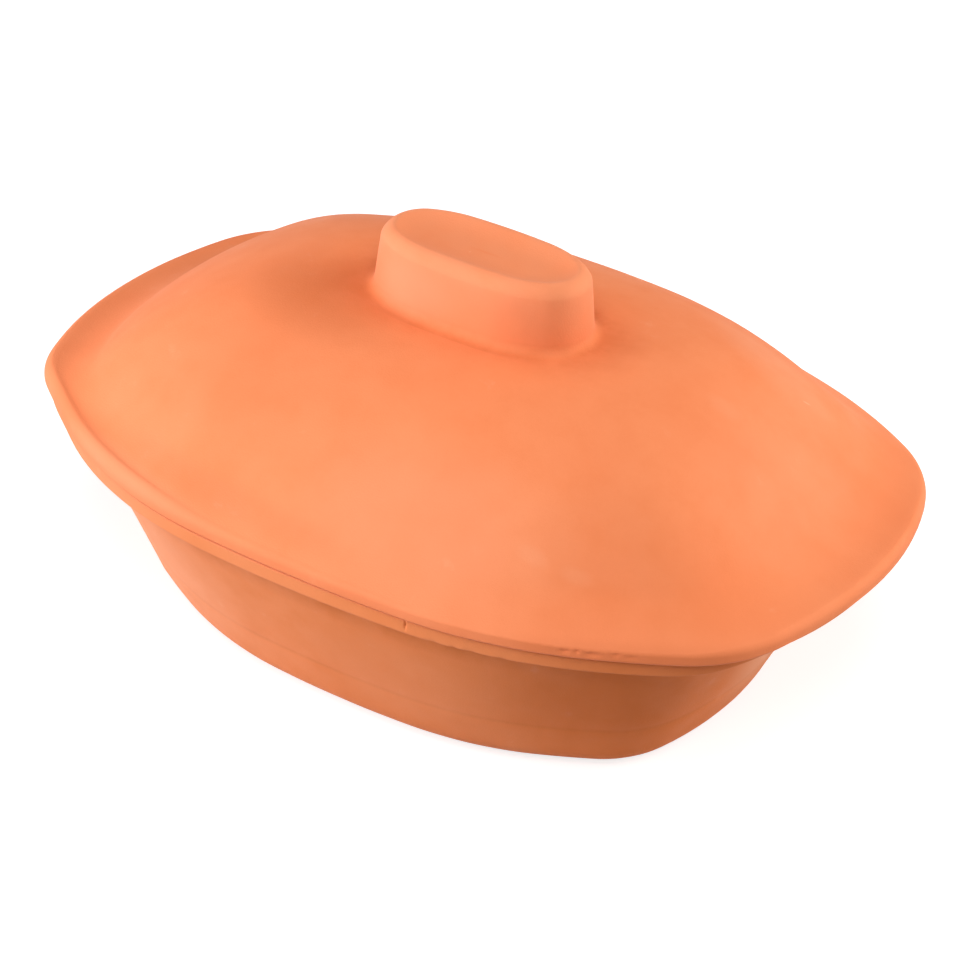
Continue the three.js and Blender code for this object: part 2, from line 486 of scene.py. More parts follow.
    def build(self, name: str) -> bpy.types.Object:
        """Make the mesh object.

        Args:
            name: Name of the piece.

        Returns:
            The object, in metres, with its wear and painted shade stored on its points.
        """
        rings = self.points()
        rows, count = rings.shape[:2]
        ends = (self.layers[0], self.layers[-1])
        points = np.vstack([rings.reshape(-1, 3), [[0.0, 0.0, end.z] for end in ends]])
        mesh = bpy.data.meshes.new(name)
        mesh.from_pydata((points * MM).tolist(), [], self.faces(rows, count))
        mesh.update()
        normals = np.empty(len(points) * 3)
        mesh.vertices.foreach_get("normal", normals)
        still = np.repeat([layer.still for layer in self.layers], count)
        sink = self.unevenness(points) * (1.0 - np.append(still, [end.still for end in ends]))
        sink[: rows * count] += self.dented(rings).ravel()
        points = points - normals.reshape(-1, 3) * sink[:, None]
        mesh.vertices.foreach_set("co", (points * MM).ravel())
        # Wear, and painted shade, stored on the points.
        for kind in ("wear", "painted_shade"):
            values = np.append(np.repeat([getattr(layer, kind) for layer in self.layers], count), [0.0, 0.0])
            mesh.attributes.new(kind, "FLOAT", "POINT").data.foreach_set("value", values)
        mesh.shade_smooth()
        mesh.update()
        piece = bpy.data.objects.new(name, mesh)
        bpy.context.scene.collection.objects.link(piece)
        return piece


@dataclass(frozen=True)
class PotSizes:
    """Sizes that the dish and the lid share, in mm.

    Attributes:
        length: Length over the lugs.
        width: Width over the rim.
        clay: Thickness of the clay.
        seat_gap: Gap between the rims.
        rim_arcs: Corner, flank and shoulder of the rim.
        rim_round: Round of the edges of the rim.
        dish_height: Height of the dish.
        dish_setback: How far the rim of the dish stands back from that of the lid.
        dish_lug: Width of the rim of the dish outside its wall at the ends.
        dish_lip: Width of the rim of the dish outside its wall at the sides.
        wall_lean_end: How far the wall leans out from foot to rim at the ends.
        wall_lean_side: How far it leans out at the sides.
    """

    length: float = 380.0
    width: float = 266.0
    clay: float = 9.0
    seat_gap: float = 0.3
    rim_arcs: tuple[float, float, float] = (63.0, 426.0, 194.0)
    rim_round: float = 1.2
    dish_height: float = 84.0
    dish_setback: float = 2.5
    dish_lug: float = 21.0
    dish_lip: float = 3.5
    wall_lean_end: float = 29.5
    wall_lean_side: float = 25.0

    def oval(self, in_length: float, in_width: float) -> Outline:
        """Find an oval inside the rim.

        Args:
            in_length: How far it stands in from the rim at its ends, in mm.
            in_width: How far it stands in at its sides, in mm.

        Returns:
            The oval, with corners in scale.
        """
        half = self.length / 2 - in_length
        share = half / (self.length / 2)
        return Outline.sized(half, self.width / 2 - in_width, tuple(arc * share for arc in self.rim_arcs))

    @property
    def seat(self) -> float:
        """Height at which the lid rests."""
        return self.dish_height + self.seat_gap

    @property
    def wall_top(self) -> Outline:
        """Outside of the dish wall under the rim."""
        return self.oval(self.dish_setback + self.dish_lug, self.dish_setback + self.dish_lip)

    @property
    def wall_foot(self) -> Outline:
        """Outside of the dish wall at its foot."""
        return self.oval(
            self.dish_setback + self.dish_lug + self.wall_lean_end,
            self.dish_setback + self.dish_lip + self.wall_lean_side,
        )

    @property
    def mouth(self) -> Outline:
        """Inside of the dish wall at the rim."""
        return self.wall_top.inset(self.clay)


def rim_edge(
    rim: Outline,
    low: float,
    thick: float,
    under: float,
    over: tuple[float, float],
    wear: float,
    turn: float = math.pi / 2,
) -> list[Layer]:
    """Lay the edge of a rim from its lower face to its upper one.

    Args:
        rim: Widest outline of the rim.
        low: Height of the lower face, in mm.
        thick: Thickness of the rim, in mm.
        under: Round of the lower edge, in mm.
        over: Width and height of the round of the upper edge, in mm.
        wear: How far the upper round is rubbed pale.
        turn: Angle through which the upper round turns, in radians.

    Returns:
        The layers of the edge.
    """
    lower = [
        Layer(
            rim.inset(under * (1 - math.sin(t))),
            low + under * (1 - math.cos(t)),
            EDGE_WEAR * wear,
            trim=1.0,
        )
        for t in steps(UNDER_STEPS, 0.0, math.pi / 2)
    ]
    upper = [
        Layer(
            rim.inset(over[0] * (1 - math.cos(t))),
            low + thick - over[1] * (1 - math.sin(t)),
            wear * (EDGE_WEAR + (1 - EDGE_WEAR) * math.sin(t)),
            trim=1.0,
        )
        for t in steps(OVER_STEPS, 0.0, turn)
    ]
    return [*lower, *straight(lower[-1], upper[0], FACE_STEPS), *upper]


@dataclass(frozen=True)
class Speckle:
    """Noise of one size in the clay.

    Attributes:
        scale: Spots per metre.
        detail: Number of finer octaves.
        rough: Strength of the finer octaves.
    """

    scale: float
    detail: float
    rough: float


@dataclass(frozen=True)
class Fade:
    """Smooth passage of one value into another.

    Attributes:
        start: Value that gives the low result.
        end: Value that gives the high result.
        low: Low result.
        high: High result.
    """

    start: float
    end: float
    low: float
    high: float


class NodeGraph:
    """Short names for the shader nodes that the finishes need."""

    def __init__(self, owner: bpy.types.Material | bpy.types.World) -> None:
        """Take the node tree of a material or of the surroundings."""
        self.tree = owner.node_tree

    def add(self, kind: str) -> bpy.types.ShaderNode:
        """Add a node of a kind."""
        return self.tree.nodes.new(kind)

    def join(self, source: bpy.types.NodeSocket, target: bpy.types.NodeSocket) -> None:
        """Link an output to an input."""
        self.tree.links.new(source, target)

    def colour(self, value: bpy.types.NodeSocket | Colour, target: bpy.types.NodeSocket) -> None:
        """Give a colour to an input.

        Args:
            value: Output that is linked, or plain colour that is written down.
            target: The input.
        """
        if isinstance(value, bpy.types.NodeSocket):
            self.join(value, target)
        else:
            target.default_value = (*value, 1.0)

    def attribute(self, name: str) -> bpy.types.NodeSocket:
        """Read a value stored on the points of the piece.

        Args:
            name: Name of the value.

        Returns:
            The value.
        """
        node = self.add("ShaderNodeAttribute")
        node.attribute_name = name
        return node.outputs["Fac"]

    def noise(self, place: bpy.types.NodeSocket, speckle: Speckle) -> bpy.types.NodeSocket:
        """Add a noise.

        Args:
            place: Coordinates, in metres.
            speckle: Size and detail of the noise.

        Returns:
            The value of the noise, about 0.5 on average.
        """
        node = self.add("ShaderNodeTexNoise")
        self.join(place, node.inputs["Vector"])
        node.inputs["Scale"].default_value = speckle.scale
        node.inputs["Detail"].default_value = speckle.detail
        node.inputs["Roughness"].default_value = speckle.rough
        return node.outputs["Fac"]

    def ramp(self, value: bpy.types.NodeSocket, stops: list[tuple[float, Colour]]) -> bpy.types.NodeSocket:
        """Turn a value into a colour.

        Args:
            value: The value.
            stops: Values and their colours, in rising order.

        Returns:
            The colour.
        """
        node = self.add("ShaderNodeValToRGB")
        for element, (position, colour) in zip(node.color_ramp.elements, stops):
            element.position = position
            element.color = (*colour, 1.0)
        self.join(value, node.inputs["Fac"])
        return node.outputs["Color"]

    def mix(
        self,
        first: bpy.types.NodeSocket | Colour,
        second: bpy.types.NodeSocket | Colour,
        share: bpy.types.NodeSocket,
    ) -> bpy.types.NodeSocket:
        """Mix two colours.

        Args:
            first: Colour at a share of 0.
            second: Colour at a share of 1.
            share: The share.

        Returns:
            The mixed colour.
        """
        node = self.add("ShaderNodeMix")
        node.data_type = "RGBA"
        share_in, first_in, second_in = (self.enabled(node.inputs, name) for name in ("Factor", "A", "B"))
        self.join(share, share_in)
        self.colour(first, first_in)
        self.colour(second, second_in)
        return self.enabled(node.outputs, "Result")

    @staticmethod
    def enabled(sockets: bpy.types.bpy_prop_collection, name: str) -> bpy.types.NodeSocket:
        """Return the socket of a name that the kind of the node leaves in use."""
        return next(socket for socket in sockets if socket.name == name and socket.enabled)

    def fade(self, value: bpy.types.NodeSocket, fade: Fade) -> bpy.types.NodeSocket:
        """Map a value smoothly.

        Args:
            value: What is mapped.
            fade: Limits and results.

        Returns:
            The mapped value.
        """
        node = self.add("ShaderNodeMapRange")
        node.interpolation_type = "SMOOTHSTEP"
        self.join(value, node.inputs["Value"])
        for name, number in zip(("From Min", "From Max", "To Min", "To Max"), astuple(fade)):
            node.inputs[name].default_value = number
        return node.outputs["Result"]

    def calculate(
        self, operation: str, first: bpy.types.NodeSocket, second: bpy.types.NodeSocket
    ) -> bpy.types.NodeSocket:
        """Work out a value from two others.

        Args:
            operation: Kind of calculation, as Blender names it.
            first: First value.
            second: Second value.

        Returns:
            The result.
        """
        node = self.add("ShaderNodeMath")
        node.operation = operation
        self.join(first, node.inputs[0])
        self.join(second, node.inputs[1])
        return node.outputs["Value"]

    def multiply(self, first: bpy.types.NodeSocket, second: bpy.types.NodeSocket) -> bpy.types.NodeSocket:
        """Multiply two values."""
        return self.calculate("MULTIPLY", first, second)

    def length(self, vector: bpy.types.NodeSocket) -> bpy.types.NodeSocket:
        """Measure a vector.

        Args:
            vector: The vector.

        Returns:
            Its length.
        """
        node = self.add("ShaderNodeVectorMath")
        node.operation = "LENGTH"
        self.join(vector, node.inputs[0])
        return node.outputs["Value"]

    def seen(self) -> bpy.types.NodeSocket:
        """Tell what is looked at from what only sheds light.

        Returns:
            1 where the camera looks, straight or by a reflection or through glass, and otherwise 0.
        """
        path = self.add("ShaderNodeLightPath")
        seen = path.outputs["Is Camera Ray"]
        for name in ("Is Glossy Ray", "Is Transmission Ray"):
            seen = self.calculate("MAXIMUM", seen, path.outputs[name])
        return seen

    def bump(
        self,
        height: bpy.types.NodeSocket,
        relief: tuple[float, float],
        normal: bpy.types.NodeSocket | None = None,
    ) -> bpy.types.NodeSocket:
        """Add relief to the surface.

        Args:
            height: Value of the relief.
            relief: Strength from 0 to 1, and height in metres.
            normal: Relief that this one is laid on.

        Returns:
            The changed normal.
        """
        node = self.add("ShaderNodeBump")
        node.inputs["Strength"].default_value, node.inputs["Distance"].default_value = relief
        self.join(height, node.inputs["Height"])
        if normal is not None:
            self.join(normal, node.inputs["Normal"])
        return node.outputs["Normal"]


@dataclass(frozen=True)
class Mark:
    """Mark on the clay: a scratch, a rub, a speck, a paler patch, or a soft patch of painted light or painted
    shade.

    Attributes:
        tone: Colour of the finish that it takes.
        at: Middle of the mark, in mm.
        reach: Half sizes along its length, across it and upwards, in mm.
        strength: How strong it is, from 0 to 1.
        heading: Direction of its length in plan, in degrees.
    """

    tone: Tone
    at: Point
    reach: Point
    strength: float
    heading: float = 0.0

    # Share of the reach within which the mark has its full strength.
    CORE: ClassVar[float] = 0.25

    def mask(self, graph: NodeGraph, place: bpy.types.NodeSocket) -> bpy.types.NodeSocket:
        """Find the strength of the mark over the piece.

        Args:
            graph: Node tree of the finish.
            place: Coordinates on the piece, in metres.

        Returns:
            The strength, highest in the middle and 0 outside the mark.
        """
        frame_of_mark = graph.add("ShaderNodeMapping")
        frame_of_mark.vector_type = "TEXTURE"
        graph.join(place, frame_of_mark.inputs["Vector"])
        frame_of_mark.inputs["Location"].default_value = [value * MM for value in self.at]
        frame_of_mark.inputs["Rotation"].default_value = (0.0, 0.0, math.radians(self.heading))
        frame_of_mark.inputs["Scale"].default_value = [value * MM for value in self.reach]
        ball = graph.add("ShaderNodeTexGradient")
        ball.gradient_type = "SPHERICAL"
        graph.join(frame_of_mark.outputs["Vector"], ball.inputs["Vector"])
        return graph.fade(ball.outputs["Fac"], Fade(0.0, 1.0 - self.CORE, 0.0, self.strength))


@dataclass(frozen=True)
class ClayFinish:
    """Fired, unglazed clay: soft patches of the kiln, fine mottling, grain, rubbed edges, painted shade in
    the creases, and marks that are partly painted light and painted shade.

    Attributes:
        name: Name of the material.
        body: Main colour.
        flush: Redder colour of the stronger fired patches.
        pale: Dusty colour of the rubbed edges and of the pale marks, some of which are painted light.
        deep: Dark colour of the painted shade in the creases and of the dark marks, which are painted shade
            too.
        marks: Marks, each laid over the one before.
        patches: Soft patches of the kiln.
        mottle: Fine mottling.
        grain: Grain of the clay.
        patch_range: Values of the patches between which the body turns into the flush.
        mottle_flush: How the mottling reddens the clay.
        mottle_pale: How the mottling pales it.
        grain_flush: How the grain reddens it.
        uneven: How the mottling breaks up the wear and the painted shade.
        roughness: How the mottling changes the roughness.
        grain_relief: Strength of the relief of the grain, and its height in metres.
        mottle_relief: Strength of the relief of the mottling, and its height in metres.
        shine: Strength of the shine.
        dust: Weight and roughness of the soft sheen of the dusty surface.
    """

    name: str
    body: Colour
    flush: Colour
    pale: Colour
    deep: Colour
    marks: tuple[Mark, ...] = ()
    patches: Speckle = Speckle(11.0, 3.0, 0.55)
    mottle: Speckle = Speckle(60.0, 5.0, 0.6)
    grain: Speckle = Speckle(1400.0, 3.0, 0.6)
    patch_range: tuple[float, float] = (0.36, 0.68)
    mottle_flush: Fade = Fade(0.42, 0.78, 0.0, 0.35)
    mottle_pale: Fade = Fade(0.36, 0.2, 0.0, 0.3)
    grain_flush: Fade = Fade(0.55, 0.75, 0.0, 0.25)
    uneven: Fade = Fade(0.25, 0.65, 0.5, 1.0)
    roughness: Fade = Fade(0.25, 0.75, 0.68, 0.86)
    grain_relief: tuple[float, float] = (0.35, 0.00035)
    mottle_relief: tuple[float, float] = (0.25, 0.0007)
    shine: float = 0.25
    dust: tuple[float, float] = (0.07, 0.3)

    def material(self) -> bpy.types.Material:
        """Build the material from nodes.

        Returns:
            The material, ready for a piece with wear and grime on its points.
        """
        material = bpy.data.materials.new(self.name)
        material.use_nodes = True
        graph = NodeGraph(material)
        place = graph.add("ShaderNodeTexCoord").outputs["Object"]
        patches = graph.noise(place, self.patches)
        mottle = graph.noise(place, self.mottle)
        grain = graph.noise(place, self.grain)

        tone = graph.ramp(patches, list(zip(self.patch_range, (self.body, self.flush))))
        tone = graph.mix(tone, self.flush, graph.fade(mottle, self.mottle_flush))
        tone = graph.mix(tone, self.pale, graph.fade(mottle, self.mottle_pale))
        tone = graph.mix(tone, self.flush, graph.fade(grain, self.grain_flush))
        uneven = graph.fade(mottle, self.uneven)
        tone = graph.mix(tone, self.pale, graph.multiply(graph.attribute("wear"), uneven))
        # Painted shade in the creases, from the value stored on the points.
        tone = graph.mix(tone, self.deep, graph.multiply(graph.attribute("painted_shade"), uneven))
        # Marks: rubs, a scratch, a speck, paler patches, and patches of painted light and painted shade.
        for mark in self.marks:
            colour = getattr(self, mark.tone.value)
            tone = graph.mix(tone, colour, mark.mask(graph, place))
        bump = graph.bump(mottle, self.mottle_relief, graph.bump(grain, self.grain_relief))

        shader = material.node_tree.nodes["Principled BSDF"]
        graph.join(tone, shader.inputs["Base Color"])
        graph.join(graph.fade(mottle, self.roughness), shader.inputs["Roughness"])
        graph.join(bump, shader.inputs["Normal"])
        shader.inputs["Specular IOR Level"].default_value = self.shine
        shader.inputs["Sheen Weight"].default_value = self.dust[0]
        shader.inputs["Sheen Roughness"].default_value = self.dust[1]
        return material


@dataclass(frozen=True)
class RoastingDish:
    """Deep oval dish with a lug at each end, open at the top.

    Attributes:
        pot: Sizes shared with the lid.
        finish: Clay of the dish.
        rim: Thickness of the rim, in mm.
        lug_round: Round under the edge of the rim, in mm.
        lug_fillet: Fillet between wall and rim, in mm.
        mouth_round: Round of the inner edge, in mm.
        foot_round: Round of the foot outside, in mm.
        floor_round: Round of the floor inside, in mm.
        ledge_height: Height of the faint ledge that the mould leaves on the wall, in mm.
        ledge_step: Step of that ledge, in mm.
        ledge_slope: Height of the slope of that ledge, in mm.
        ledge_fade: Height above the ledge at which its painted shade ends, in mm.
        ledge_painted_shade: How far painted shade darkens the ledge.
        shelter: Height of the strip of wall under the rim, down which its painted shadow fades, in mm.
        shelter_painted_shadow: How far the painted shadow of the rim darkens the top of that strip.
        crease_painted_shade: How far painted shade darkens the crease under the rim.
        wall_trim: How far the uneven trimming of the rim reaches at the top of the wall.
        rim_wear: How far the edge of the rim is rubbed pale.
        mouth_wear: How far the inner edge is rubbed pale.
        seed: Where in the noise the unevenness is taken from, in mm.
    """

    pot: PotSizes
    finish: ClayFinish
    rim: float = 7.4
    lug_round: float = 1.5
    lug_fillet: float = 3.0
    mouth_round: float = 2.0
    foot_round: float = 17.0
    floor_round: float = 24.0
    ledge_height: float = 25.0
    ledge_step: float = 0.3
    ledge_slope: float = 1.6
    ledge_fade: float = 3.5
    ledge_painted_shade: float = 0.2
    shelter: float = 10.0
    shelter_painted_shadow: float = 0.45
    crease_painted_shade: float = 0.9
    wall_trim: float = 0.55
    rim_wear: float = 0.35
    mouth_wear: float = 0.2
    seed: float = 31.0

    # Rings of the foot and the floor, with the size of the smallest, and steps of the other stretches.
    CAP_RINGS: ClassVar[int] = 9
    CAP_SMALLEST: ClassVar[float] = 0.05
    TURN_STEPS: ClassVar[int] = 10
    FOOT_STEPS: ClassVar[int] = 3
    WALL_STEPS: ClassVar[int] = 10
    SHELTER_STEPS: ClassVar[int] = 4
    FILLET_STEPS: ClassVar[int] = 7
    TOP_STEPS: ClassVar[int] = 5
    MOUTH_STEPS: ClassVar[int] = 4

    @property
    def wall_end(self) -> Layer:
        """Upper end of the outside of the wall, under the rim."""
        return Layer(self.pot.wall_top, self.pot.dish_height - self.rim, trim=self.wall_trim)

    def slope(self) -> float:
        """Return how steep the wall is, in radians from level."""
        return math.atan2(self.pot.dish_height, (self.pot.wall_lean_end + self.pot.wall_lean_side) / 2)

    def turn(self, wall: Outline, floor: float, rounding: float) -> list[Layer]:
        """Lay the rounded turn from a level floor into the wall.

        Args:
            wall: Outline on which the turn ends.
            floor: Height of the floor, in mm.
            rounding: Radius of the turn, in mm.

        Returns:
            The layers from the floor upwards.
        """
        slope = self.slope()
        return [
            Layer(
                wall.inset(rounding * (math.sin(slope) - math.sin(t))),
                floor + rounding * (1 - math.cos(t)),
            )
            for t in steps(self.TURN_STEPS, 0.0, slope)
        ]

    def wall_at(self, z: float) -> Layer:
        """Find the outside of the wall at a height.

        Args:
            z: The height, in mm.

        Returns:
            The layer there.
        """
        start = self.turn(self.pot.wall_foot, 0.0, self.foot_round)[-1]
        end = self.wall_end
        return start.mixed(end, (z - start.z) / (end.z - start.z))

    def outside_layers(self) -> list[Layer]:
        """Lay the outside from the middle of the foot to the crease under the rim.

        Returns:
            The layers up to the foot of the fillet under the rim.
        """
        foot = self.turn(self.pot.wall_foot, 0.0, self.foot_round)
        foot[0] = replace(foot[0], still=1.0)
        below = self.wall_at(self.ledge_height)
        above = self.wall_at(self.ledge_height + self.ledge_slope)
        # Painted shade along the faint ledge, fading out above it.
        above = replace(above, outline=above.outline.inset(self.ledge_step), painted_shade=self.ledge_painted_shade)
        shade = self.wall_at(self.ledge_height + self.ledge_fade)
        fillet = self.wall_end.z - self.lug_fillet
        shelter = self.wall_at(fillet - self.shelter)
        # Painted shadow of the rim at the top of the sheltered strip, fading down the wall.
        shoulder = replace(self.wall_at(fillet), painted_shade=self.shelter_painted_shadow)
        return [
            *cap(foot[0], self.CAP_RINGS, self.CAP_SMALLEST)[::-1],
            *foot,
            *straight(foot[-1], below, self.FOOT_STEPS),
            below,
            above,
            shade,
            *straight(shade, shelter, self.WALL_STEPS),
            shelter,
            *straight(shelter, shoulder, self.SHELTER_STEPS),
            shoulder,
        ]

    def inside_layers(self) -> list[Layer]:
        """Lay the inside from the mouth to the middle of the floor.

        Returns:
            The layers from the inner edge of the rim on.
        """
        pot = self.pot
        lip = held(pot.mouth.inset(-self.mouth_round), pot.dish_height)
        corner = Layer(pot.mouth, pot.dish_height, self.mouth_wear)
        inside = Layer(pot.mouth, pot.dish_height - self.mouth_round)
        floor_top = pot.clay + self.floor_round * (1 - math.cos(self.slope()))
        wall = self.wall_at(floor_top).outline.inset(pot.clay)
        floor = self.turn(wall, pot.clay, self.floor_round)[::-1]
        return [
            *curve(lip, corner, inside, self.MOUTH_STEPS),
            *straight(inside, floor[0], self.WALL_STEPS),
            *floor,
            *cap(floor[-1], self.CAP_RINGS, self.CAP_SMALLEST),
        ]

    def layers(self) -> list[Layer]:
        """Stack the dish from the middle of its foot, round the rim, to the middle of its floor.

        Returns:
            All the layers.
        """
        pot = self.pot
        outside = self.outside_layers()
        inside = self.inside_layers()
        rim = pot.oval(0.0, 0.0).inset(pot.dish_setback)
        over = (pot.rim_round, pot.rim_round)
        edge = rim_edge(rim, self.wall_end.z, self.rim, self.lug_round, over, self.rim_wear)
        edge[-1] = replace(edge[-1], still=1.0)
        # Painted shade in the crease under the rim.
        crease = replace(self.wall_end, painted_shade=self.crease_painted_shade)
        return [
            *outside[:-1],
            *curve(outside[-1], crease, edge[0], self.FILLET_STEPS)[:-1],
            *edge,
            *straight(edge[-1], inside[0], self.TOP_STEPS),
            *inside,
        ]

    def build(self) -> bpy.types.Object:
        """Build and dress the dish.

        Returns:
            The dish, riding on its body and standing for its CAD node.
        """
        loft = Loft(self.layers(), trims=self.trims(), dents=self.dents(), seed=self.seed)
        piece = loft.build("dish_of_fired_clay")
        piece.data.materials.append(self.finish.material())
        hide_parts(Piece.DISH.value)
        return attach(piece, Body.DISH.value)

    def trims(self) -> tuple[RimTrim, ...]:
        """List the uneven places of the rim of the dish.

        Returns:
            The bays and swells, near left corner first.
        """
        return (
            RimTrim(-126.0, 3.1, 24.0),
            RimTrim(-93.2, -1.75, 100.0),
            RimTrim(-24.4, 4.2, 29.0),
            RimTrim(-6.7, 4.2, 55.0),
        )

    def dents(self) -> tuple[Dent, ...]:
        """List the dents in the near rim of the dish.

        Returns:
            The nick, and the waves of the lower edge beside it.
        """
        low = self.wall_end.z
        return (
            Dent(-85.0, low + 4.9, (0.5, 1.7), 0.85),
            Dent(-81.4, low + 0.7, (2.6, 1.5), 0.35),
            Dent(-78.9, low + 0.5, (1.6, 1.2), 0.3),
            Dent(-76.8, low + 0.7, (2.9, 1.5), 0.4),
            Dent(-73.1, low + 0.5, (1.9, 1.2), 0.3),
        )


@dataclass(frozen=True)
class DomedLid:
    """Domed lid with a rim like that of the dish and a moulded grip on its crown.

    Attributes:
        pot: Sizes shared with the dish.
        finish: Clay of the lid.
        rim: Height of the bead of the rim, in mm.
        face: Height of the upright face under the bead, in mm.
        bead: Width of the bead along the lugs, in mm.
        bead_turn: Angle through which the round of the bead turns, in radians.
        lug: Width of the brim outside the dome at the ends, in mm.
        lip: Width of the brim outside the dome at the sides, in mm.
        lip_face: Height of the upright face at the sides, in mm.
        lip_round: Round between that face and the dome, in mm.
        lip_turn: Angle through which that round turns, in radians.
        brim_rise: Height of the foot of the dome above the seat, in mm.
        dome_rise: Height of the crown above the seat, in mm.
        belly: Control points of the curve from the foot of the dome (0, 0) to its crown (1, 1).
        fillet: Share of that curve up to which the foot of the dome is rounded.
        grip_length: Length of the grip at the top of its sides, in mm.
        grip_width: Width of the grip there, in mm.
        grip_rise: Height of the grip above the crown, in mm.
        grip_taper: How far the sides lean out to the foot, in mm.
        grip_flare: Fillet at the foot of the grip, in mm.
        grip_border: Width and height of the sloping border of its top, in mm.
        grip_edge: Round between the sides and the border, in mm.
        grip_dish: Width of the slope and depth of the dished top, in mm.
        grip_arcs: Corner, flank and shoulder of the grip, in mm.
        crown_margin: Distance of the crown from the foot of the grip at ends and sides, in mm.
        ridge: Drop, width, clearance and round of the locating ridge under the lid, in mm.
        hollow_start: Share of the curve at which the hollow leaves the ridge.
        hollow_round: Round of the hollow under the grip, in mm.
        throat_bend: How far towards the dome the hollow keeps its course below the grip, as a share.
        rim_wear: How far the edge of the rim is rubbed pale.
        grip_wear: How far the grip is rubbed pale at its side, crease, border, crest and dished top.
        foot_painted_shade: How far painted shade darkens the foot of the grip and its fillet.
        crown_painted_shade: How far painted shade darkens the last two layers of the dome towards the grip.
        chip_height: Height of the chips above the seat, as a share of the upright face.
        seed: Where in the noise the unevenness is taken from, in mm.
    """

    pot: PotSizes
    finish: ClayFinish
    rim: float = 9.0
    face: float = 2.5
    bead: float = 5.5
    bead_turn: float = math.radians(75.0)
    lug: float = 22.5
    lip: float = 5.0
    lip_face: float = 4.3
    lip_round: float = 1.9
    lip_turn: float = math.radians(45.0)
    brim_rise: float = 7.8
    dome_rise: float = 61.5
    belly: tuple[tuple[float, float], tuple[float, float]] = ((0.13, 0.4), (0.55, 1.0))
    fillet: float = 0.16
    grip_length: float = 96.0
    grip_width: float = 46.0
    grip_rise: float = 29.0
    grip_taper: float = 2.0
    grip_flare: float = 4.8
    grip_border: tuple[float, float] = (6.0, 4.6)
    grip_edge: float = 1.6
    grip_dish: tuple[float, float] = (13.0, 3.2)
    grip_arcs: tuple[float, float, float] = (18.0, 24.0, 54.0)
    crown_margin: tuple[float, float] = (11.7, 0.6)
    ridge: tuple[float, float, float, float] = (4.0, 7.0, 1.5, 1.2)
    hollow_start: float = 0.23
    hollow_round: float = 4.0
    throat_bend: float = 0.25
    rim_wear: float = 0.1
    grip_wear: tuple[float, float, float, float, float] = (0.12, 0.35, 0.3, 0.4, 0.25)
    foot_painted_shade: tuple[float, float] = (0.6, 0.5)
    crown_painted_shade: tuple[float, float] = (0.12, 0.3)
    chip_height: float = 0.6
    seed: float = 7.0

    # Rings of the top of the grip and of the ceiling under it, with the sizes of the smallest ones.
    CAP_RINGS: ClassVar[int] = 4
    GRIP_SMALLEST: ClassVar[float] = 0.3
    HOLLOW_SMALLEST: ClassVar[float] = 0.1
    # Steps of the stretches outside, and the step of the border at which the round of its edge ends.
    SEAT_STEPS: ClassVar[int] = 3
    BRIM_STEPS: ClassVar[int] = 12
    DOME_STEPS: ClassVar[int] = 24
    CROWN_STEPS: ClassVar[int] = 4
    FLARE_STEPS: ClassVar[int] = 8
    SIDE_STEPS: ClassVar[int] = 6
    EDGE_STEPS: ClassVar[int] = 5
    EDGE_END: ClassVar[int] = 2
    BORDER_STEPS: ClassVar[int] = 10
    DISH_STEPS: ClassVar[int] = 10
    # Steps of the rounds, the straight and bent stretches and the dome of the hollow.
    ROUND_STEPS: ClassVar[int] = 4
    THROAT_STEPS: ClassVar[int] = 5
    HOLLOW_STEPS: ClassVar[int] = 18

    @property
    def crown(self) -> float:
        """Height of the crown."""
        return self.pot.seat + self.dome_rise

    def grip_oval(self, grow: float, grow_side: float | None = None) -> Outline:
        """Find an outline of the grip.

        Args:
            grow: How far it stands outside the top of the sides of the grip, in mm.
            grow_side: The same along the long sides, where that differs.

        Returns:
            The outline.
        """
        half_width = self.grip_width / 2 + (grow if grow_side is None else grow_side)
        share = half_width / (self.grip_width / 2)
        arcs = tuple(arc * share for arc in self.grip_arcs)
        return Outline.sized(self.grip_length / 2 + grow, half_width, arcs)

    def dome_at(self, share: float, depth: float = 0.0) -> Layer:
        """Find one layer of the dome.

        Args:
            share: Share of the curve from foot to crown.
            depth: How far the layer lies inside the surface, in mm.

        Returns:
            The layer.
        """
        foot = self.pot.oval(self.lug, self.lip)
        reach = self.grip_taper + self.grip_flare
        crown = self.grip_oval(reach + self.crown_margin[0], reach + self.crown_margin[1])
        rise = self.dome_rise - self.brim_rise
        run = (self.pot.length - self.grip_length) / 2 - self.lug - reach - self.crown_margin[0]
        points = [Vector(point) for point in ((0.0, 0.0), *self.belly, (1.0, 1.0))]
        while len(points) > 2:
            points = [a.lerp(b, share) for a, b in zip(points, points[1:])]
        at, slope = points[0].lerp(points[1], share), points[1] - points[0]
        slope = Vector((slope.x * run, slope.y * rise)).normalized()
        outline = foot.mixed(crown, at.x).inset(depth * slope.y)
        return Layer(outline, self.pot.seat + self.brim_rise + rise * at.y - depth * slope.x)

    def grip_layers(self) -> list[Layer]:
        """Lay the outside of the grip.

        Returns:
            The layers from its flared foot to the middle of its dished top.
        """
        top = self.crown + self.grip_rise
        side_wear, crease_wear, border_wear, crest_wear, dish_wear = self.grip_wear
